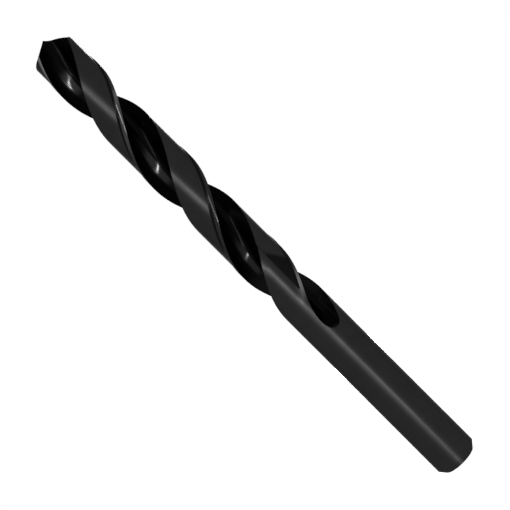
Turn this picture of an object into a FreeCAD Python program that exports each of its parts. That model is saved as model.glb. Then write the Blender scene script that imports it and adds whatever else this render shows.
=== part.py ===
"""Parallel-shank twist drill: two right-hand flutes, ground margins and a relief-ground point.

The drill stands on its shank end, with its axis on Z and its point up.
"""
import FreeCAD, Part
import math
import os
import Sketcher

doc = FreeCAD.newDocument("twist_drill")

# Driving dimensions, in millimetres and degrees
DIMENSIONS = (
    ("overall_length", 151.0),      # chisel edge to shank end
    ("cutting_diameter", 12.7),     # across the margins
    ("shank_clearance", 0.3),       # between the shank and the drilled hole
    ("relief_depth", 0.275),        # from the margins down to the lands behind them
    ("bevel_depth", 1.4),           # shank end bevel, measured along the radius
    ("bevel_length", 1.65),         # shank end bevel, measured along the axis
    ("body_length", 77.0),          # chisel edge to the neck
    ("neck_length", 14.0),          # taper from the cutting diameter to the shank
    ("flute_length", 104.4),        # chisel edge to the last trace of the flutes
    ("flute_lead", 65.5),           # axial travel of one full turn
    ("flute_spread", 95.0),         # leading edge to heel, at the point
    ("web_thickness", 1.9),         # between the flutes, at the point
    ("web_slope", 0.0155),          # how far the flute moves out per unit of axial travel
    ("web_bearing", 22.0),          # direction in which it moves out, from the lip, along the rake
    ("valley_radius", 1.6),         # bottom of the flute
    ("heel_radius", 8.0),           # rounded back of the land
    ("runout_length", 12.3),        # stretch in which the flute leaves the rod
    ("runout_bearing", 95.0),       # direction in which it leaves, from the lip
    ("margin_width", 0.9),          # square to the leading edge
    ("step_fillet", 4.0),           # hollow between margin and land, in axial section
    ("relief_length", 91.2),        # chisel edge to the end of the land relief
    ("point_angle", 118.0),
    ("grind_half_angle", 41.0),     # cone that each flank is part of
    ("grind_reach", 8.0),           # drill axis to the cone's apex, along its side
    ("grind_offset", 2.1),          # the cone's axis, ahead of the drill axis
)

sheet = doc.addObject("Spreadsheet::Sheet", "sizes")
for row, (alias, value) in enumerate(DIMENSIONS, start=1):
    sheet.set(f"A{row}", alias)
    sheet.set(f"B{row}", str(value))
    sheet.setAlias(f"B{row}", alias)
doc.recompute()

LAND_COUNT = 2
FULL_TURN = 360.0
STATIONS_PER_TURN = 15      # flute sections along one lead
RUNOUT_STATIONS = 8         # flute sections along the run-out
OVERCUT = 2.0               # how far a cut reaches past the surface that it leaves


def number(expression):
    """The present value of an expression over the sheet."""
    return float(sheet.evalExpression(expression))


# Values that follow from the driving dimensions, as expressions over the sheet
CUTTING_RADIUS = "(sizes.cutting_diameter / 2)"
RELIEF_RADIUS = f"({CUTTING_RADIUS} - sizes.relief_depth)"
SHANK_RADIUS = f"({CUTTING_RADIUS} - sizes.shank_clearance)"
HALF_WEB = "(sizes.web_thickness / 2)"
HALF_POINT = "(sizes.point_angle / 2 * 1deg)"
LIP_REACH = f"sqrt({CUTTING_RADIUS}^2 - {HALF_WEB}^2)"
CORNER_BEARING = f"(asin({HALF_WEB} / {CUTTING_RADIUS}) / 1deg)"
HELIX_SLOPE = "(pi * sizes.cutting_diameter / sizes.flute_lead)"
FLUTE_END = "(sizes.overall_length - sizes.flute_length)"
FLUTE_TOP = f"({FLUTE_END} + sizes.runout_length)"


def cone_drop(along, across):
    """Depth of the flank cone's surface below its apex, over one point of the drill's end view.

    The cone's side runs down at half the point angle, and its axis leans towards the drill's.
    """
    cone = "(sizes.grind_half_angle * 1deg)"
    lean = f"({HALF_POINT} - {cone})"
    run = f"(sizes.grind_reach * sin({HALF_POINT}) + {along})"
    side = f"(sizes.grind_offset - {across})"
    rise = f"({run}^2 * (cos({lean})^2 - sin({cone})^2) + ({side} * cos({cone}))^2)"
    root = f"sqrt(({run} * sin({cone}))^2 + {side}^2 * (cos({lean})^2 - cos({cone})^2))"
    return f"({rise} / (cos({cone}) * {root} + {run} * sin({lean}) * cos({lean})))"


APEX_HEIGHT = f"(sizes.overall_length + {cone_drop('0', '0')})"
CORNER_HEIGHT = f"({APEX_HEIGHT} - {cone_drop(LIP_REACH, HALF_WEB)})"


def turn_at(height):
    """Bearing of the lip line, in degrees, where the flutes reach a height."""
    return f"({FULL_TURN} * ({height} - {CORNER_HEIGHT}) / sizes.flute_lead)"


body = doc.addObject("PartDesign::Body", "twist_drill")
body.Label = "twist_drill"


def origin_feature(role):
    """One of the body's own planes or axes."""
    return next(item for item in body.Origin.OriginFeatures if item.Role == role)


def new_sketch(name, plane, placement=None):
    """A sketch on one of the body's planes, moved from there by a placement expression."""
    sketch = body.newObject("Sketcher::SketchObject", name)
    sketch.AttachmentSupport = [(origin_feature(plane), "")]
    sketch.MapMode = "FlatFace"
    if placement:
        sketch.setExpression("AttachmentOffset", placement)
    return sketch


def dimension(sketch, kind, elements, expression):
    """A dimension of the sketch that follows an expression."""
    index = sketch.addConstraint(Sketcher.Constraint(kind, *elements, number(expression)))
    sketch.setExpression(f"Constraints[{index}]", expression)


def place_point(sketch, element, vertex, across, up):
    """Fix a point by its two distances from the sketch's origin."""
    dimension(sketch, "DistanceX", (-1, 1, element, vertex), across)
    dimension(sketch, "DistanceY", (-1, 1, element, vertex), up)


def draw_polygon(sketch, corners):
    """A closed outline of straight lines through corners given as expressions."""
    points = [FreeCAD.Vector(number(across), number(up), 0) for across, up in corners]
    count = len(points)
    for index, start in enumerate(points):
        sketch.addGeometry(Part.LineSegment(start, points[(index + 1) % count]))
    for index in range(count):
        sketch.addConstraint(Sketcher.Constraint("Coincident", index, 2, (index + 1) % count, 1))
    for index, (across, up) in enumerate(corners):
        place_point(sketch, index, 1, across, up)


def repeat_on_each_land(feature, name):
    """The same cut for every land, evenly round the axis."""
    pattern = body.newObject("PartDesign::PolarPattern", name)
    pattern.Originals = [feature]
    pattern.Axis = (origin_feature("Z_Axis"), [""])
    pattern.Angle = FULL_TURN
    pattern.Occurrences = LAND_COUNT
    body.Tip = pattern


# Ground rod: shank with a bevelled end, neck taper and fluted stretch
ROD_TOP = f"(sizes.overall_length + {OVERCUT})"
NECK_TOP = "(sizes.overall_length - sizes.body_length)"
NECK_BOTTOM = f"({NECK_TOP} - sizes.neck_length)"
rod_outline = new_sketch("rod_outline", "XZ_Plane")
draw_polygon(rod_outline, (
    ("0", "0"),
    (f"{SHANK_RADIUS} - sizes.bevel_depth", "0"),
    (SHANK_RADIUS, "sizes.bevel_length"),
    (SHANK_RADIUS, NECK_BOTTOM),
    (CUTTING_RADIUS, NECK_TOP),
    (CUTTING_RADIUS, ROD_TOP),
    ("0", ROD_TOP),
))
rod = body.newObject("PartDesign::Revolution", "rod")
rod.Profile = rod_outline
rod.ReferenceAxis = (rod_outline, ["V_Axis"])
rod.Angle = FULL_TURN

# Land relief: a thin helical cut behind each margin, with a hollow fillet up to the margin.
# It starts square across the land, reaches to the middle of the flute behind, and runs out at the point.
MARGIN_RISE = f"(sizes.margin_width * sqrt(1 + {HELIX_SLOPE}^2) / {HELIX_SLOPE})"
STEP = f"({CUTTING_RADIUS} - {RELIEF_RADIUS})"
STEP_RISE = f"sqrt(2 * sizes.step_fillet * {STEP} - {STEP}^2)"
RELIEF_RISE = f"(({FULL_TURN / LAND_COUNT} - sizes.flute_spread / 2) / {FULL_TURN} * sizes.flute_lead)"
CREST_HEIGHT = "(sizes.overall_length - sizes.relief_length)"
FOOT_HEIGHT = f"({CREST_HEIGHT} + {STEP_RISE})"
HEEL_HEIGHT = f"({CREST_HEIGHT} - {MARGIN_RISE} + {RELIEF_RISE})"
RELIEF_BEARING = f"({CORNER_BEARING} + {turn_at(f'({CREST_HEIGHT} - {MARGIN_RISE})')})"

relief_outline = new_sketch(
    "relief_outline", "XZ_Plane",
    f"placement(vector(0; 0; 0); rotation(vector(0; 1; 0); {RELIEF_BEARING}))")
outside = number(f"{CUTTING_RADIUS} + {OVERCUT}")
relief_points = {
    "crest": FreeCAD.Vector(number(CUTTING_RADIUS), number(CREST_HEIGHT), 0),
    "foot": FreeCAD.Vector(number(RELIEF_RADIUS), number(FOOT_HEIGHT), 0),
    "heel": FreeCAD.Vector(number(RELIEF_RADIUS), number(HEEL_HEIGHT), 0),
    "outer_heel": FreeCAD.Vector(outside, number(HEEL_HEIGHT), 0),
    "outer_crest": FreeCAD.Vector(outside, number(CREST_HEIGHT), 0),
}
fillet = number("sizes.step_fillet")
fillet_centre = relief_points["foot"] + FreeCAD.Vector(fillet, 0, 0)
crest_arm = relief_points["crest"] - fillet_centre
crest_angle = math.atan2(crest_arm.y, crest_arm.x) % (2 * math.pi)
fillet_circle = Part.Circle(fillet_centre, FreeCAD.Vector(0, 0, 1), fillet)
relief_outline.addGeometry(Part.ArcOfCircle(fillet_circle, math.pi, crest_angle))
relief_outline.addGeometry(Part.LineSegment(relief_points["foot"], relief_points["heel"]))
relief_outline.addGeometry(Part.LineSegment(relief_points["heel"], relief_points["outer_heel"]))
relief_outline.addGeometry(Part.LineSegment(relief_points["outer_heel"], relief_points["outer_crest"]))
relief_outline.addGeometry(Part.LineSegment(relief_points["outer_crest"], relief_points["crest"]))
relief_outline.addConstraint(Sketcher.Constraint("Tangent", 0, 1, 1, 1))
for line in (1, 2, 3):
    relief_outline.addConstraint(Sketcher.Constraint("Coincident", line, 2, line + 1, 1))
relief_outline.addConstraint(Sketcher.Constraint("Coincident", 4, 2, 0, 2))
dimension(relief_outline, "Radius", (0,), "sizes.step_fillet")
place_point(relief_outline, 1, 1, RELIEF_RADIUS, FOOT_HEIGHT)
dimension(relief_outline, "DistanceX", (-1, 1, 0, 2), CUTTING_RADIUS)
place_point(relief_outline, 1, 2, RELIEF_RADIUS, HEEL_HEIGHT)
place_point(relief_outline, 3, 1, f"{CUTTING_RADIUS} + {OVERCUT}", HEEL_HEIGHT)
place_point(relief_outline, 3, 2, f"{CUTTING_RADIUS} + {OVERCUT}", CREST_HEIGHT)

land_relief = body.newObject("PartDesign::SubtractiveHelix", "land_relief")
land_relief.Profile = relief_outline
land_relief.ReferenceAxis = (origin_feature("Z_Axis"), [""])
land_relief.Mode = "pitch-height-angle"
land_relief.LeftHanded = False
land_relief.setExpression("Pitch", "sizes.flute_lead")
land_relief.setExpression("Height", "sizes.relief_length")
land_relief.Angle = 0
repeat_on_each_land(land_relief, "land_reliefs")

# Flute section, square to the axis, with the lip along X at the corner's height.
# The rake arc meets the web on the bearing to which the straight lip twists it.
FOOT_BEARING = f"((90 - {FULL_TURN} * {LIP_REACH} / (tan({HALF_POINT}) * sizes.flute_lead)) * 1deg)"
CORNER_ALONG = f"({LIP_REACH} * cos({FOOT_BEARING}) + {HALF_WEB} * sin({FOOT_BEARING}))"
RAKE_RADIUS = (
    f"(({CUTTING_RADIUS}^2 + {HALF_WEB}^2 - 2 * {HALF_WEB} * {CORNER_ALONG})"
    f" / (2 * ({CORNER_ALONG} - {HALF_WEB})))")
HEEL_BEARING = f"(({CORNER_BEARING} + sizes.flute_spread) * 1deg)"
OUTER_BEARING = f"(({CORNER_BEARING} + sizes.flute_spread / 2) * 1deg)"
CLEARANCE_RADIUS = f"({CUTTING_RADIUS} + {OVERCUT})"


def polar(distance, bearing):
    """Plane coordinates, as expressions, of a point at a distance and bearing."""
    return f"({distance}) * cos({bearing})", f"({distance}) * sin({bearing})"


def plane_point(coordinates):
    return FreeCAD.Vector(number(coordinates[0]), number(coordinates[1]), 0)


def bearing_of(arm):
    return math.atan2(arm.y, arm.x)


def arc_about(centre, start, end):
    """A counter-clockwise arc from start to end."""
    circle = Part.Circle(centre, FreeCAD.Vector(0, 0, 1), (start - centre).Length)
    return Part.ArcOfCircle(circle, bearing_of(start - centre), bearing_of(end - centre))


corner = (LIP_REACH, HALF_WEB)
root = polar(HALF_WEB, FOOT_BEARING)
heel = polar(RELIEF_RADIUS, HEEL_BEARING)
outer = polar("sizes.cutting_diameter", OUTER_BEARING)
corner_point = plane_point(corner)
root_point = plane_point(root)
heel_point = plane_point(heel)
outer_point = plane_point(outer)
rake_centre = plane_point(polar(f"{HALF_WEB} + {RAKE_RADIUS}", FOOT_BEARING))
valley_radius = number("sizes.valley_radius")
valley_centre = plane_point(polar(f"{HALF_WEB} + sizes.valley_radius", FOOT_BEARING))

# The heel arc passes through the heel and touches the valley arc from outside
heel_radius = number("sizes.heel_radius")
heel_arm = heel_point - valley_centre
heel_span = heel_arm.Length
toward_heel = heel_arm / heel_span
touch = heel_radius + valley_radius
along = (touch ** 2 - heel_radius ** 2 + heel_span ** 2) / (2 * heel_span)
aside = math.sqrt(touch ** 2 - along ** 2)
heel_centre = valley_centre + toward_heel * along + FreeCAD.Vector(-toward_heel.y, toward_heel.x, 0) * aside
valley_end = valley_centre + (heel_centre - valley_centre) * (valley_radius / touch)


def beyond_rod(centre, radius, side):
    """Where a circle of the flute's outline crosses the clearance circle round the rod."""
    clearance = number(CLEARANCE_RADIUS)
    span = centre.Length
    inward = (clearance ** 2 - radius ** 2 + span ** 2) / (2 * span)
    offset = side * math.sqrt(clearance ** 2 - inward ** 2)
    toward = centre / span
    return toward * inward + FreeCAD.Vector(-toward.y, toward.x, 0) * offset


rake_end = beyond_rod(rake_centre, number(RAKE_RADIUS), -1)
heel_end = beyond_rod(heel_centre, heel_radius, -1)


def draw_flute_outline(sketch):
    """Rake arc, valley arc and heel arc, closed outside the rod by two straight lines."""
    rake, valley, back, heel_cap, lip_cap, clearance, corner_mark, heel_mark = range(8)
    sketch.addGeometry(arc_about(rake_centre, root_point, rake_end))
    sketch.addGeometry(arc_about(valley_centre, valley_end, root_point))
    sketch.addGeometry(arc_about(heel_centre, valley_end, heel_end))
    sketch.addGeometry(Part.LineSegment(heel_end, outer_point))
    sketch.addGeometry(Part.LineSegment(outer_point, rake_end))
    clearance_circle = Part.Circle(FreeCAD.Vector(), FreeCAD.Vector(0, 0, 1), number(CLEARANCE_RADIUS))
    sketch.addGeometry(clearance_circle, True)
    sketch.addGeometry(Part.Point(corner_point), True)
    sketch.addGeometry(Part.Point(heel_point), True)
    sketch.addConstraint(Sketcher.Constraint("Tangent", rake, 1, valley, 2))
    sketch.addConstraint(Sketcher.Constraint("Tangent", valley, 1, back, 1))
    sketch.addConstraint(Sketcher.Constraint("Coincident", back, 2, heel_cap, 1))
    sketch.addConstraint(Sketcher.Constraint("Coincident", heel_cap, 2, lip_cap, 1))
    sketch.addConstraint(Sketcher.Constraint("Coincident", lip_cap, 2, rake, 2))
    sketch.addConstraint(Sketcher.Constraint("Coincident", clearance, 3, -1, 1))
    sketch.addConstraint(Sketcher.Constraint("PointOnObject", corner_mark, 1, rake))
    sketch.addConstraint(Sketcher.Constraint("PointOnObject", heel_mark, 1, back))
    sketch.addConstraint(Sketcher.Constraint("PointOnObject", rake, 2, clearance))
    sketch.addConstraint(Sketcher.Constraint("PointOnObject", back, 2, clearance))
    place_point(sketch, rake, 1, *root)
    place_point(sketch, corner_mark, 1, *corner)
    place_point(sketch, heel_mark, 1, *heel)
    place_point(sketch, lip_cap, 1, *outer)
    dimension(sketch, "Radius", (rake,), RAKE_RADIUS)
    dimension(sketch, "Radius", (valley,), "sizes.valley_radius")
    dimension(sketch, "Radius", (back,), "sizes.heel_radius")
    dimension(sketch, "Radius", (clearance,), CLEARANCE_RADIUS)


# The flute sections climb the helix. Going down from the point they move out along the rake,
# which thickens the web, and below the flute's top they swing out of the rod, ever faster.
# The lift at the run-out's end just carries the rake arc clear of the shank.
TOP_SET_BACK = f"(sizes.web_slope * ({CORNER_HEIGHT} - {FLUTE_TOP}))"
RAKE_SWING = f"({FOOT_BEARING} - sizes.runout_bearing * 1deg)"
WEB_SWING = "((sizes.web_bearing - sizes.runout_bearing) * 1deg)"
RAKE_ALONG = f"(({HALF_WEB} + {RAKE_RADIUS}) * cos({RAKE_SWING}) + {TOP_SET_BACK} * cos({WEB_SWING}))"
RAKE_ACROSS = f"(({HALF_WEB} + {RAKE_RADIUS}) * sin({RAKE_SWING}) + {TOP_SET_BACK} * sin({WEB_SWING}))"
RUNOUT_LIFT = f"(sqrt(({SHANK_RADIUS} + {RAKE_RADIUS})^2 - {RAKE_ACROSS}^2) - {RAKE_ALONG})"


def flute_station(name, height, share):
    """One flute section at a height, with the share of the run-out that is behind it."""
    set_back = f"(sizes.web_slope * ({CORNER_HEIGHT} - {height}))"
    lift = f"({RUNOUT_LIFT} * {share}^2)"
    turn = turn_at(height)
    outward = f"(({turn} + sizes.web_bearing) * 1deg)"
    swing = f"(({turn} + sizes.runout_bearing) * 1deg)"
    east = f"({set_back} * cos({outward}) + {lift} * cos({swing}))"
    north = f"({set_back} * sin({outward}) + {lift} * sin({swing}))"
    sketch = new_sketch(
        name, "XY_Plane",
        f"placement(vector({east}; {north}; {height}); rotation(vector(0; 0; 1); {turn}))")
    draw_flute_outline(sketch)
    return sketch


fluted_rise = f"({ROD_TOP} + {OVERCUT} - {FLUTE_TOP})"
steps = math.ceil(number(f"{fluted_rise} / sizes.flute_lead") * STATIONS_PER_TURN)
flute_sections = []
for step in range(steps + 1):
    height = f"({FLUTE_TOP} + {step} / {steps} * {fluted_rise})"
    flute_sections.append(flute_station(f"flute_section_{step}", height, "0"))
runout_sections = [flute_sections[0]]
for step in range(1, RUNOUT_STATIONS + 2):
    share = f"({step} / {RUNOUT_STATIONS})"
    height = f"({FLUTE_TOP} - {share} * sizes.runout_length)"
    runout_sections.append(flute_station(f"runout_section_{step}", height, share))


def cut_along(name, sections):
    """A smooth cut through a row of sections."""
    cut = body.newObject("PartDesign::SubtractiveLoft", name)
    cut.Profile = sections[0]
    cut.Sections = sections[1:]
    cut.Ruled = False
    return cut


repeat_on_each_land(cut_along("flute", flute_sections), "flutes")
repeat_on_each_land(cut_along("runout", runout_sections), "runouts")

# Point: each flank is ground as part of a cone whose apex lies beyond the opposite flank.
# The two cones meet in the chisel edge.
GRIND_RUN = f"(sizes.grind_reach * sin({HALF_POINT}))"
GRIND_LEAN = "(sizes.point_angle / 2 - sizes.grind_half_angle)"
GRIND_LENGTH = "(3 * sizes.cutting_diameter)"
flank_outline = new_sketch(
    "flank_outline", "XZ_Plane",
    f"placement(vector(-{GRIND_RUN}; {APEX_HEIGHT}; -sizes.grind_offset);"
    f" rotation(vector(0; 0; 1); {GRIND_LEAN}))")
CONE_SIDE = "tan(sizes.grind_half_angle * 1deg)"
draw_polygon(flank_outline, (
    ("0", "0"),
    (f"{GRIND_LENGTH} * {CONE_SIDE}", f"-{GRIND_LENGTH}"),
    (f"{GRIND_LENGTH} * (1 + {CONE_SIDE})", f"-{GRIND_LENGTH}"),
    (f"{GRIND_LENGTH} * (1 + {CONE_SIDE})", "sizes.cutting_diameter"),
    ("0", "sizes.cutting_diameter"),
))
flank = body.newObject("PartDesign::Groove", "flank")
flank.Profile = flank_outline
flank.ReferenceAxis = (flank_outline, ["V_Axis"])
flank.Angle = FULL_TURN
repeat_on_each_land(flank, "flanks")

doc.recompute()

for item in doc.Objects:
    if "Invalid" in item.State or "Error" in item.State:
        raise RuntimeError(f"{item.Name} failed: {item.State}")

os.makedirs("parts", exist_ok=True)
for part in doc.findObjects("PartDesign::Body"):
    shape = part.Shape
    if shape.isNull() or not shape.isValid():
        raise RuntimeError(f"{part.Label} has no valid shape")
    shape.exportStep(f"parts/{part.Label}.step")
    print(part.Label, "solids", len(shape.Solids), "volume", round(shape.Volume, 1))
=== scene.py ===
"""Looks of a black-oxide twist drill: satin shank and lands, glossy flutes, brighter margins."""
import math

import bpy
from mathutils import Matrix, Vector

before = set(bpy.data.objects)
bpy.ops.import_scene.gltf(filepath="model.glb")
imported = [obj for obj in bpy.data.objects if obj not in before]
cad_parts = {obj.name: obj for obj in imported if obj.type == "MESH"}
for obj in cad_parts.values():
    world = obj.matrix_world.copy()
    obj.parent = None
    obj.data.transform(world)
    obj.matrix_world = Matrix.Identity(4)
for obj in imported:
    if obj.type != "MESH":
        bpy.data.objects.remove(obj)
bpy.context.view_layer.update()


def mm(*sizes):
    """Millimetres in metres: one size, or a tuple of several."""
    metres = tuple(size * 0.001 for size in sizes)
    return metres if len(metres) > 1 else metres[0]


# Camera: level with the middle of the drill, its axis laid across the picture's diagonal
CAMERA_DISTANCE = mm(260)
CAMERA_HEIGHT = mm(74)
CAMERA_BEARING = math.radians(38)
CAMERA_ROLL = math.radians(45)
CAMERA_LENS = 71.65             # on a 36 mm wide sensor
CAMERA_CLIP_START = mm(10)

# World and floor: plain light for the rest, and white where they are seen or mirrored
WHITE = (1, 1, 1, 1)
WORLD_LIGHT = 0.4
FLOOR_SIZE = 8
FLOOR_TONE, FLOOR_GLOW = 0.8, 0.75
MIRRORED_FLOOR_TONE, MIRRORED_FLOOR_GLOW = 0.1, 0.92

# Lamps, each once in front of the drill and once behind it. The azimuth is in degrees from the
# camera's side, positive to its right, and the aim is a height on the drill's axis
KEY_LAMP = dict(azimuth=-3.5, distance=mm(300), height=mm(44), aim=mm(80),
                size=mm(20, 80), radiance=105)
UPPER_LAMP = dict(azimuth=-15, distance=mm(350), height=mm(310), aim=mm(110),
                  size=mm(24, 280), radiance=34)

# The drill, as model.glb has it. A rise is a distance along the axis, behind a leading edge
DRILL_LENGTH = mm(151)
FLUTE_LEAD = mm(65.5)
CORNER_HEIGHT = mm(147.5)       # where the leading edges meet the point
CORNER_BEARING = math.radians(8.6)
WEB_RADIUS, WEB_SLOPE = mm(0.95), 0.0155        # at the point, and its growth towards the shank
MARGIN_RISE = mm(1.73)
MARGIN_EDGE = MARGIN_RISE, 1.1 * MARGIN_RISE
HOLLOW_RISE = mm(1.46)
HOLLOW_EDGE = MARGIN_RISE + 0.8 * HOLLOW_RISE, MARGIN_RISE + 1.2 * HOLLOW_RISE
CLEARANCE_BEARING = math.radians(55.3)          # axial step in which the body clearance ends
CLEARANCE_TOP, CLEARANCE_SLOPE = mm(73.9), mm(-7.3)     # its edge there, and the fall by radian

# Spans in which a finish fades in or out. Those named foot, top or height are heights, and a
# pair of spans holds the fading in and the fading out
LAND_FACING = 0.8, 0.97         # how squarely a land faces outward
LAND_RADIUS = mm(5.5, 5.8)
LAND_FOOT = mm(43.5, 44.5)      # below it, all is shank
HEEL_RISE = mm(5, 6)            # behind it, the edge of the land is a rounded heel
HEEL_ROUNDING, HEEL_SAMPLES = mm(0.4), 6
VALLEY_DEPTH = mm(0.3, 1.6)     # outward from the web
MARGIN_FOOT = mm(57, 63)
HOLLOW_FOOT = mm(60, 61)
FLANK_FOOT = mm(143, 144)
FLANK_FACING = 0.35, 0.45       # how squarely a flank faces the point
# Painted shade in a triangle where the body clearance runs out
RUNOUT_DEPTH = mm(0, 2)         # below the end of the body clearance
RUNOUT_TURN = 1.3, 1.5          # radians from its step
RUNOUT_FOOT = mm(59.6, 60.6)
# Painted highlight on the shank round the end of each margin
LIP_RISE = mm(28, 29), mm(0.3, 4.8)             # in before a leading edge, and out behind it
LIP_HEIGHT = mm(56, 60), mm(60.5, 63)
FLUTE_END_HEIGHT = mm(54, 57), mm(66, 74)

# Strip along the bottom of each flute that the chips rub, raised most in one of its patches in each
# half lead. These patches are painted glints: they sit where the lamps' glints fall. The strip's
# rise and depth hold at the base height, and drift in step with the height above it
RUBBED_GLINT_BASE = mm(75)
RUBBED_GLINT_RISE = mm(26, 27.5), mm(2, 3)            # in before a leading edge, and out behind it
RUBBED_GLINT_RISE_DRIFT = -0.04
RUBBED_GLINT_DEPTH = mm(0.5, 1.3)
RUBBED_GLINT_DEPTH_DRIFT = -0.02
RUBBED_GLINT_TOP, RUBBED_GLINT_TOP_SHARE = mm(139.5, 142.5), 0.1
GLINT_PATCH_FOOT = mm(101)
GLINT_PATCH_HEIGHT = mm(0.5, 3), mm(9, 13)            # above each patch's foot
GLINT_PATCH_GAP_SHARE = 0.15

# Reflectance and roughness of each finish
LAND_TONE, LAND_ROUGHNESS = 0.0217, 0.43
# The flutes, their valleys and the flanks are painted far darker than the oxide on the lands:
# painted shade, as if they mirrored dark surroundings
FLUTE_TONE, FLUTE_ROUGHNESS = 0.0012, 0.34
# The flute's run-out is painted less dark than the rest of the flute: painted light on a face that
# looks lit
FLUTE_END_TONE = 0.006
VALLEY_TONE, VALLEY_ROUGHNESS = 0.003, 0.32
# The strip the chips rub brightens towards the point, which sets how bright its painted glints are
RUBBED_GLINT_TONES, RUBBED_GLINT_ROUGHNESS = (0.014, 0.026), 0.2
RUBBED_GLINT_TONE_HEIGHTS = mm(75, 135)
MARGIN_TONE, MARGIN_ROUGHNESS = 0.021, 0.25
# The flanks: painted shade, near-black like the flutes
FLANK_TONE, FLANK_ROUGHNESS = 0.0015, 0.3
# Painted shade in the hollow behind each margin
HOLLOW_SHADE_TONE = 0.006
RUNOUT_SHADE_TONE = 0.0075
LIP_HIGHLIGHT_TONE = 0.085
ANISOTROPY, ANISOTROPIC_ROTATION = 0.8, 0.25    # a quarter turn: grinding lines run round the drill
SPECULAR_TINT = (0.5, 0.5, 0.5, 1)

# Margin: a painted highlight on its lower end and on a stretch near the point, and wear at its
# outer corner
MARGIN_END_HIGHLIGHT_TONE, MARGIN_END_HIGHLIGHT_TOP = 0.16, mm(61, 66)
MARGIN_HIGHLIGHT_HEIGHT = mm(108, 119), mm(127, 129.5)
MARGIN_HIGHLIGHT_TONES, MARGIN_HIGHLIGHT_TONE_HEIGHTS = (0.045, 0.09), mm(123.5, 127.5)
CORNER_TONE, CORNER_FOOT = 0.14, mm(139, 145)

# Blotches of the oxide, and how much they change tone and roughness
BLOTCHES = dict(scale=260.0, detail=5.0, roughness=0.6)
BLOTCH_CONTRAST = 0.3, 0.7
BLOTCH_TONE = 0.95, 1.05
BLOTCH_ROUGHNESS = 1.03, 0.97

# Relief: a flat margin shines as a worn, crowned one, and the highlight runs on to the end bevel
MARGIN_CROWN, CROWN_CENTRE = mm(0.35), 0.2
LINE_DEPTH = mm(0.0012)
TURNED_LINES = dict(scale=5000.0, detail=3.0, roughness=0.7)
DRAWN_LINES = dict(scale=4000.0, detail=3.0, roughness=0.7)
DRAWN_STRETCH = 0.5
BEVEL_TOP = mm(1.6, 1.8)
BEVEL_FACING = 0.2, 0.4
BEVEL_SOFTENING = 6.0


def make_camera():
    back = Vector((math.cos(CAMERA_BEARING), math.sin(CAMERA_BEARING), 0))
    up = Vector((0, 0, 1))
    side = up.cross(back)
    right = side * math.cos(CAMERA_ROLL) - up * math.sin(CAMERA_ROLL)
    upward = side * math.sin(CAMERA_ROLL) + up * math.cos(CAMERA_ROLL)
    place = Matrix.Translation(back * CAMERA_DISTANCE + up * CAMERA_HEIGHT)
    camera = bpy.data.objects.new("camera", bpy.data.cameras.new("camera"))
    camera.data.lens = CAMERA_LENS
    camera.data.clip_start = CAMERA_CLIP_START
    camera.matrix_world = place @ Matrix((right, upward, back)).transposed().to_4x4()
    bpy.context.scene.collection.objects.link(camera)
    bpy.context.scene.camera = camera


def make_lamp(name, turn, azimuth, distance, height, aim, size, radiance):
    """A rectangular lamp that looks equally bright at any size or distance."""
    bearing = CAMERA_BEARING + math.radians(turn + azimuth)
    place = Vector((distance * math.cos(bearing), distance * math.sin(bearing), height))
    light = bpy.data.lights.new(name, "AREA")
    light.shape = "RECTANGLE"
    light.size, light.size_y = size
    light.energy = radiance * math.pi * size[0] * size[1]
    lamp = bpy.data.objects.new(name, light)
    lamp.location = place
    lamp.rotation_euler = (place - Vector((0, 0, aim))).to_track_quat("Z", "Y").to_euler()
    lamp.visible_camera = False
    bpy.context.scene.collection.objects.link(lamp)


class Nodes:
    """Short names for the nodes of one tree."""

    def __init__(self, tree):
        self.tree = tree

    def add(self, kind, **settings):
        node = self.tree.nodes.new("ShaderNode" + kind)
        for name, value in settings.items():
            setattr(node, name, value)
        return node

    def feed(self, socket, value):
        if isinstance(value, bpy.types.NodeSocket):
            self.tree.links.new(value, socket)
        else:
            socket.default_value = value

    def math(self, operation, *values):
        node = self.add("Math", operation=operation)
        for index, value in enumerate(values):
            self.feed(node.inputs[index], value)
        return node.outputs[0]

    def product(self, value, *factors):
        for factor in factors:
            value = self.math("MULTIPLY", value, factor)
        return value

    def vector(self, operation, *values):
        node = self.add("VectorMath", operation=operation)
        for index, value in enumerate(values):
            self.feed(node.inputs[index], value)
        return node.outputs["Value" if operation in ("DOT_PRODUCT", "LENGTH") else "Vector"]

    def combine(self, x, y, z):
        node = self.add("CombineXYZ")
        for socket, value in zip(node.inputs, (x, y, z)):
            self.feed(socket, value)
        return node.outputs[0]

    def grey(self, value):
        return self.combine(value, value, value)

    def rise(self, value, low, high, start=0.0, end=1.0):
        """From start at low to end at high, with soft ends."""
        node = self.add("MapRange", interpolation_type="SMOOTHSTEP")
        for socket, item in zip(node.inputs, (value, low, high, start, end)):
            self.feed(socket, item)
        return node.outputs[0]

    def fall(self, value, low, high, end=0.0):
        """From 1 at low to end at high, with soft ends."""
        return self.rise(value, low, high, 1.0, end)

    def between(self, value, opening, ending):
        """1 between two spans, in which it fades in and out."""
        return self.product(self.rise(value, *opening), self.fall(value, *ending))

    def outside(self, value, opening, ending):
        """1 above the opening span and below the ending one, for a value that starts again."""
        return self.math("MAXIMUM", self.rise(value, *opening), self.fall(value, *ending))

    def blend(self, share, first, second):
        """A number between first and second."""
        node = self.add("Mix", data_type="FLOAT")
        for socket, item in zip(node.inputs[:1] + node.inputs[2:4], (share, first, second)):
            self.feed(socket, item)
        return node.outputs[0]

    def layers(self, value, *coats):
        """A number, covered in turn by coats of a mask and the number where that mask is 1."""
        for mask, coat in coats:
            value = self.blend(mask, value, coat)
        return value

    def noise(self, vector, scale, detail, roughness):
        node = self.add("TexNoise")
        self.feed(node.inputs["Vector"], vector)
        self.feed(node.inputs["Scale"], scale)
        self.feed(node.inputs["Detail"], detail)
        self.feed(node.inputs["Roughness"], roughness)
        return node.outputs["Fac"]


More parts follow.
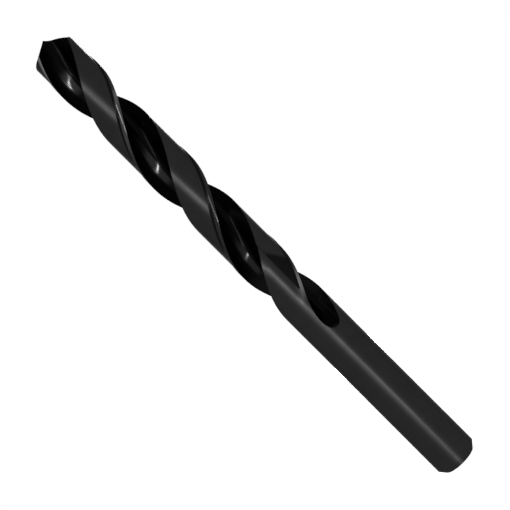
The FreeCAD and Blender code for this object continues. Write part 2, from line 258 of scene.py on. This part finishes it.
def make_world():
    """White where it is seen, directly or in gloss, and plain light for the rest."""
    world = bpy.data.worlds.new("studio")
    world.use_nodes = True
    nodes = Nodes(world.node_tree)
    rays = nodes.add("LightPath").outputs
    seen = nodes.math("MAXIMUM", rays["Is Camera Ray"], rays["Is Glossy Ray"])
    seen = nodes.math("MAXIMUM", seen, rays["Is Transmission Ray"])
    background = world.node_tree.nodes["Background"]
    background.inputs["Color"].default_value = WHITE
    nodes.feed(background.inputs["Strength"], nodes.blend(seen, WORLD_LIGHT, 1.0))
    bpy.context.scene.world = world


def make_floor():
    """Pale floor that looks white, with the drill's shadow, and mirrors as white."""
    bpy.ops.mesh.primitive_plane_add(size=FLOOR_SIZE)
    floor = bpy.context.object
    floor.name = "floor"
    material = bpy.data.materials.new("floor")
    material.use_nodes = True
    nodes = Nodes(material.node_tree)
    rays = nodes.add("LightPath").outputs
    mirrored = nodes.math("MAXIMUM", rays["Is Glossy Ray"], rays["Is Transmission Ray"])
    glow = nodes.math("MAXIMUM", nodes.product(rays["Is Camera Ray"], FLOOR_GLOW),
                      nodes.product(mirrored, MIRRORED_FLOOR_GLOW))
    tone = nodes.blend(mirrored, FLOOR_TONE, MIRRORED_FLOOR_TONE)
    shader = material.node_tree.nodes["Principled BSDF"]
    nodes.feed(shader.inputs["Base Color"], nodes.grey(tone))
    shader.inputs["Roughness"].default_value = 1.0
    shader.inputs["Specular IOR Level"].default_value = 0.0
    shader.inputs["Emission Color"].default_value = WHITE
    nodes.feed(shader.inputs["Emission Strength"], glow)
    floor.data.materials.append(material)


class Place:
    """Where a point of the drill lies, and how its surface faces there."""

    def __init__(self, nodes):
        self.point = nodes.add("TexCoord").outputs["Object"]
        split = nodes.add("SeparateXYZ")
        nodes.feed(split.inputs[0], self.point)
        x, y, self.z = split.outputs
        across = nodes.combine(x, y, 0.0)
        self.radius = nodes.vector("LENGTH", across)
        self.outward = nodes.vector("NORMALIZE", across)
        self.bearing = nodes.math("ARCTAN2", y, x)
        self.normal = nodes.add("NewGeometry").outputs["Normal"]
        self.facing = nodes.vector("DOT_PRODUCT", self.normal, self.outward)

        # Axial distance behind the leading edge, the same for both lands
        turn = nodes.math("SUBTRACT", CORNER_BEARING, self.bearing)
        climb = nodes.product(turn, FLUTE_LEAD / (2 * math.pi))
        behind = nodes.math("ADD", nodes.math("SUBTRACT", self.z, CORNER_HEIGHT), climb)
        self.behind = nodes.math("FLOORED_MODULO", behind, FLUTE_LEAD / 2)

        # Radial distance from the web, which grows thicker towards the shank
        below = nodes.math("SUBTRACT", DRILL_LENGTH, self.z)
        web = nodes.math("MULTIPLY_ADD", below, WEB_SLOPE, WEB_RADIUS)
        self.depth = nodes.math("SUBTRACT", self.radius, web)


def land_mask(nodes, at):
    """Lands and shank against the flutes, with a rounded heel edge."""
    rounded = nodes.add("Bevel", samples=HEEL_SAMPLES)
    rounded.inputs["Radius"].default_value = HEEL_ROUNDING
    soft_facing = nodes.vector("DOT_PRODUCT", rounded.outputs[0], at.outward)
    facing = nodes.blend(nodes.rise(at.behind, *HEEL_RISE), at.facing, soft_facing)
    land = nodes.product(nodes.rise(facing, *LAND_FACING), nodes.rise(at.radius, *LAND_RADIUS))
    return nodes.blend(nodes.rise(at.z, *LAND_FOOT), 1.0, land)


def rubbed_and_glint_mask(nodes, at):
    """Strip along the bottom of each flute that the chips rub, with painted glints in its patches.
    """
    opening, ending = RUBBED_GLINT_RISE
    above = nodes.math("SUBTRACT", at.z, RUBBED_GLINT_BASE)
    drifted = nodes.math("MULTIPLY_ADD", above, RUBBED_GLINT_RISE_DRIFT, at.behind)
    strip = nodes.math("MAXIMUM", nodes.rise(drifted, *opening), nodes.fall(at.behind, *ending))
    depth = nodes.math("MULTIPLY_ADD", above, RUBBED_GLINT_DEPTH_DRIFT, at.depth)
    # Painted glints: the strip is raised most in patches, one each half lead, where the lamps'
    # glints fall
    glint_patch = nodes.math("SUBTRACT", at.z, GLINT_PATCH_FOOT)
    glint_patch = nodes.math("FLOORED_MODULO", glint_patch, FLUTE_LEAD / 2)
    glint_patch = nodes.between(glint_patch, *GLINT_PATCH_HEIGHT)
    return nodes.product(strip, nodes.fall(depth, *RUBBED_GLINT_DEPTH),
                         nodes.fall(at.z, *RUBBED_GLINT_TOP, RUBBED_GLINT_TOP_SHARE),
                         nodes.blend(glint_patch, GLINT_PATCH_GAP_SHARE, 1.0))


def margin_masks(nodes, at, land):
    """The ground margin, and the hollow behind it, which carries painted shade."""
    strip = nodes.fall(at.behind, *MARGIN_EDGE)
    margin = nodes.product(land, strip, nodes.rise(at.z, *MARGIN_FOOT))
    hollow = nodes.math("SUBTRACT", nodes.fall(at.behind, *HOLLOW_EDGE), strip)
    return margin, nodes.product(hollow, nodes.rise(at.z, *HOLLOW_FOOT))


def flank_mask(nodes, at):
    """The two flanks of the point."""
    facing = nodes.vector("DOT_PRODUCT", at.normal, (0, 0, 1))
    return nodes.product(nodes.rise(at.z, *FLANK_FOOT), nodes.rise(facing, *FLANK_FACING))


def runout_shade_mask(nodes, at, land):
    """Painted shade: the dark triangle in which the body clearance runs out."""
    turn = nodes.math("SUBTRACT", at.bearing, CLEARANCE_BEARING)
    turn = nodes.math("FLOORED_MODULO", turn, math.pi)
    edge = nodes.math("MULTIPLY_ADD", turn, CLEARANCE_SLOPE, CLEARANCE_TOP)
    return nodes.product(nodes.rise(nodes.math("SUBTRACT", edge, at.z), *RUNOUT_DEPTH),
                         nodes.fall(turn, *RUNOUT_TURN), nodes.rise(at.z, *RUNOUT_FOOT),
                         nodes.rise(at.behind, *MARGIN_EDGE), land)


def lip_highlight_mask(nodes, at, land):
    """Painted highlight: brighter shank round the end of each margin."""
    return nodes.product(nodes.outside(at.behind, *LIP_RISE),
                         nodes.between(at.z, *LIP_HEIGHT), land)


def margin_tone(nodes, z):
    """Reflectance of the margin, with painted highlights on a stretch and its lower end, and its
    worn corner.
    """
    painted_highlight = nodes.rise(z, *MARGIN_HIGHLIGHT_TONE_HEIGHTS, *MARGIN_HIGHLIGHT_TONES)
    return nodes.layers(
        MARGIN_END_HIGHLIGHT_TONE,
        (nodes.rise(z, *MARGIN_END_HIGHLIGHT_TOP),
         nodes.blend(nodes.between(z, *MARGIN_HIGHLIGHT_HEIGHT), MARGIN_TONE, painted_highlight)),
        (nodes.rise(z, *CORNER_FOOT), CORNER_TONE))


def relief_normal(nodes, at, land, margin):
    """Crown of the margins, lines of the grinding wheel, and the softened end bevel."""
    across = nodes.math("MINIMUM", nodes.math("DIVIDE", at.behind, MARGIN_RISE), 1.0)
    across = nodes.math("SUBTRACT", across, CROWN_CENTRE)
    crown = nodes.product(across, across, -MARGIN_CROWN, nodes.rise(at.z, *MARGIN_FOOT))

    # Lines run round the shank and lands, and along the flutes
    turned = nodes.noise(nodes.combine(0.0, 0.0, at.z), **TURNED_LINES)
    along = nodes.combine(nodes.product(at.behind, DRAWN_STRETCH), at.radius, 0.0)
    drawn = nodes.noise(along, **DRAWN_LINES)
    lines = nodes.product(nodes.blend(land, drawn, turned), nodes.blend(margin, LINE_DEPTH, 0.0))

    bevel = nodes.product(nodes.fall(at.z, *BEVEL_TOP), nodes.rise(at.facing, *BEVEL_FACING),
                          BEVEL_SOFTENING)
    bevel = nodes.vector("MULTIPLY", at.outward, nodes.grey(bevel))
    softened = nodes.vector("NORMALIZE", nodes.vector("ADD", at.normal, bevel))

    relief = nodes.add("Bump")
    relief.inputs["Distance"].default_value = 1.0
    nodes.feed(relief.inputs["Height"], nodes.math("ADD", crown, lines))
    nodes.feed(relief.inputs["Normal"], softened)
    return relief.outputs[0]


def black_oxide():
    """The one material: a finish for each kind of surface and its wear, with painted shade,
    highlights and glints.
    """
    material = bpy.data.materials.new("black_oxide_steel")
    material.use_nodes = True
    nodes = Nodes(material.node_tree)
    at = Place(nodes)

    land = land_mask(nodes, at)
    valley = nodes.fall(at.depth, *VALLEY_DEPTH)
    rubbed_and_glint = rubbed_and_glint_mask(nodes, at)
    margin, hollow = margin_masks(nodes, at, land)
    flank = flank_mask(nodes, at)
    blotch = nodes.rise(nodes.noise(at.point, **BLOTCHES), *BLOTCH_CONTRAST)

    tone = nodes.layers(
        FLUTE_TONE,
        (nodes.between(at.z, *FLUTE_END_HEIGHT), FLUTE_END_TONE),
        (valley, VALLEY_TONE),
        # painted glints, in patches of the strip the chips rub
        (rubbed_and_glint, nodes.rise(at.z, *RUBBED_GLINT_TONE_HEIGHTS, *RUBBED_GLINT_TONES)),
        (land, LAND_TONE),
        (lip_highlight_mask(nodes, at, land), LIP_HIGHLIGHT_TONE),
        (runout_shade_mask(nodes, at, land), RUNOUT_SHADE_TONE),
        (hollow, HOLLOW_SHADE_TONE),
        # the margin, with its painted highlights
        (margin, margin_tone(nodes, at.z)),
        (flank, FLANK_TONE))
    roughness = nodes.layers(
        FLUTE_ROUGHNESS,
        (valley, VALLEY_ROUGHNESS),
        (rubbed_and_glint, RUBBED_GLINT_ROUGHNESS),
        (land, LAND_ROUGHNESS),
        (margin, MARGIN_ROUGHNESS),
        (flank, FLANK_ROUGHNESS))
    tone = nodes.product(tone, nodes.blend(blotch, *BLOTCH_TONE))
    roughness = nodes.product(roughness, nodes.blend(blotch, *BLOTCH_ROUGHNESS))
    tangent = nodes.add("Tangent", direction_type="RADIAL", axis="Z").outputs[0]

    shader = material.node_tree.nodes["Principled BSDF"]
    nodes.feed(shader.inputs["Base Color"], nodes.grey(tone))
    nodes.feed(shader.inputs["Roughness"], roughness)
    nodes.feed(shader.inputs["Normal"], relief_normal(nodes, at, land, margin))
    nodes.feed(shader.inputs["Tangent"], tangent)
    shader.inputs["Anisotropic"].default_value = ANISOTROPY
    shader.inputs["Anisotropic Rotation"].default_value = ANISOTROPIC_ROTATION
    shader.inputs["Metallic"].default_value = 1.0
    shader.inputs["Specular Tint"].default_value = SPECULAR_TINT
    return material


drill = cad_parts["twist_drill"]
drill.data.materials.clear()
drill.data.materials.append(black_oxide())

bpy.context.scene.view_settings.view_transform = "Standard"
make_camera()
make_world()
make_floor()
for side, turn in (("front", 0), ("back", 180)):
    for name, lamp in (("key_", KEY_LAMP), ("upper_", UPPER_LAMP)):
        make_lamp(name + side, turn, **lamp)
